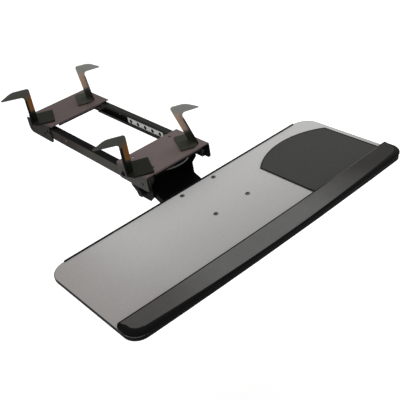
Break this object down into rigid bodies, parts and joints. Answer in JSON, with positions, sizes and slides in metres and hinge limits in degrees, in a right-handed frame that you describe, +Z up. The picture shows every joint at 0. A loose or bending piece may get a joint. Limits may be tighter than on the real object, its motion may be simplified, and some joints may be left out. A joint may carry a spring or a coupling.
{
  "type": "keyboard tray",
  "caption": "Hook-in keyboard tray: telescoping frame with claw hooks, swivel, folding link arm and a wide tilting board with palm rest and mouse mat.",
  "frame": {"origin": "top face of the front cross plate, on the swivel axis", "axes": "+X to the right along the tray, +Y to the back under the desk, +Z up; the user sits at -Y"},
  "size_m": [0.635, 0.7319, 0.1895],
  "materials": {
    "bronze_paint": "satin brown-grey powder coat",
    "black_paint": "satin black powder coat",
    "zinc_steel": "zinc plated",
    "bare_steel": "bare, brushed",
    "black_bolt": "black oxide",
    "hook_paint": "satin dark olive-grey, bronze tint on the uprights",
    "nylon": "natural nylon",
    "fibreboard": "raw fibreboard",
    "silver_laminate": "satin silver-grey laminate",
    "black_edge": "satin black",
    "mat_cloth": "close-woven dark grey cloth",
    "palm_cover": "matt grained leatherette over gel",
    "knob_plastic": "satin black"
  },
  "bodies": {
    "front_frame": {"front_cross_plate": "bronze_paint", "left_slide": "zinc_steel", "right_slide": "zinc_steel", "left_index_strip": "bare_steel", "right_index_strip": "bare_steel", "slide_bolts": "black_bolt", "slide_spacers": "zinc_steel", "swivel_race": "zinc_steel", "swivel_bearing": "nylon", "swivel_stud": "zinc_steel", "swivel_nut": "zinc_steel", "swivel_stop_pin": "zinc_steel"},
    "rear_frame": {"rear_cross_plate": "bronze_paint", "left_rail": "bronze_paint", "right_rail": "black_paint", "rail_rivets": "black_bolt", "rail_stop_screws": "zinc_steel"},
    "hook_front_left": {"hook_front_left": "hook_paint", "hook_nuts_front_left": "zinc_steel"},
    "hook_front_right": {"hook_front_right": "hook_paint", "hook_nuts_front_right": "zinc_steel"},
    "hook_rear_left": {"hook_rear_left": "hook_paint", "hook_nuts_rear_left": "zinc_steel"},
    "hook_rear_right": {"hook_rear_right": "hook_paint", "hook_nuts_rear_right": "zinc_steel"},
    "swivel_bracket": {"swivel_disc": "zinc_steel", "yoke": "black_paint", "upper_rear_pivots": "black_bolt", "lower_rear_pivots": "black_bolt", "pivot_washers": "nylon"},
    "arm": {"arm_cover": "black_paint", "lock_bolt": "zinc_steel", "lock_spacer": "zinc_steel", "lock_washer": "zinc_steel"},
    "links": {"lower_links": "black_paint"},
    "head": {"tray_head": "black_paint", "upper_front_pivots": "black_bolt", "lower_front_pivots": "black_bolt", "tilt_spacer": "zinc_steel"},
    "tray": {"tray_board": "fibreboard", "tray_laminate": "silver_laminate", "edge_band": "black_edge", "back_strip": "black_edge", "mouse_mat": "mat_cloth", "palm_rest_base": "black_edge", "palm_rest_pad": "palm_cover", "tray_bracket": "black_paint", "tray_screws": "black_bolt", "tilt_bolt": "zinc_steel", "tilt_washer": "zinc_steel"},
    "lock_knob": {"lock_knob": "knob_plastic"},
    "tilt_knob": {"tilt_knob": "knob_plastic"}
  },
  "joints": [
    {"name": "rear_extend", "type": "slide", "parent": "front_frame", "child": "rear_frame", "axis": [0, 1, 0], "range_m": [0, 0.127]},
    {"name": "hook_front_left_set", "type": "slide", "parent": "front_frame", "child": "hook_front_left", "axis": [1, 0, 0], "range_m": [0, 0.016]},
    {"name": "hook_front_right_set", "type": "slide", "parent": "front_frame", "child": "hook_front_right", "axis": [1, 0, 0], "range_m": [-0.006, 0.01]},
    {"name": "hook_rear_left_set", "type": "slide", "parent": "rear_frame", "child": "hook_rear_left", "axis": [1, 0, 0], "range_m": [0, 0.016]},
    {"name": "hook_rear_right_set", "type": "slide", "parent": "rear_frame", "child": "hook_rear_right", "axis": [1, 0, 0], "range_m": [0, 0.016]},
    {"name": "swivel", "type": "hinge", "parent": "front_frame", "child": "swivel_bracket", "pos_m": [0, 0, 0], "axis": [0, 0, 1], "range_deg": [-90, 90]},
    {"name": "height", "type": "hinge", "parent": "swivel_bracket", "child": "arm", "pos_m": [0, 0.038, -0.046], "axis": [1, 0, 0], "range_deg": [0, 30]},
    {"name": "link_swing", "type": "hinge", "parent": "swivel_bracket", "child": "links", "pos_m": [0, 0.04738, -0.05896], "axis": [1, 0, 0], "range_deg": [0, 30]},
    {"name": "head_level", "type": "hinge", "parent": "arm", "child": "head", "pos_m": [0, -0.072, -0.088], "axis": [1, 0, 0], "range_deg": [-30, 0]},
    {"name": "tilt", "type": "hinge", "parent": "head", "child": "tray", "pos_m": [0, -0.108, -0.079], "axis": [1, 0, 0], "range_deg": [-10, 15]},
    {"name": "lock_turn", "type": "hinge", "parent": "arm", "child": "lock_knob", "pos_m": [0, 0.00802, -0.0628], "axis": [-1, 0, 0], "range_deg": [0, 360]},
    {"name": "tilt_turn", "type": "hinge", "parent": "tray", "child": "tilt_knob", "pos_m": [0, -0.108, -0.079], "axis": [1, 0, 0], "range_deg": [0, 360]}
  ],
  "couplings": [
    {"joint": "link_swing", "follows": "height", "ratio": 1},
    {"joint": "head_level", "follows": "height", "ratio": -1}
  ]
}
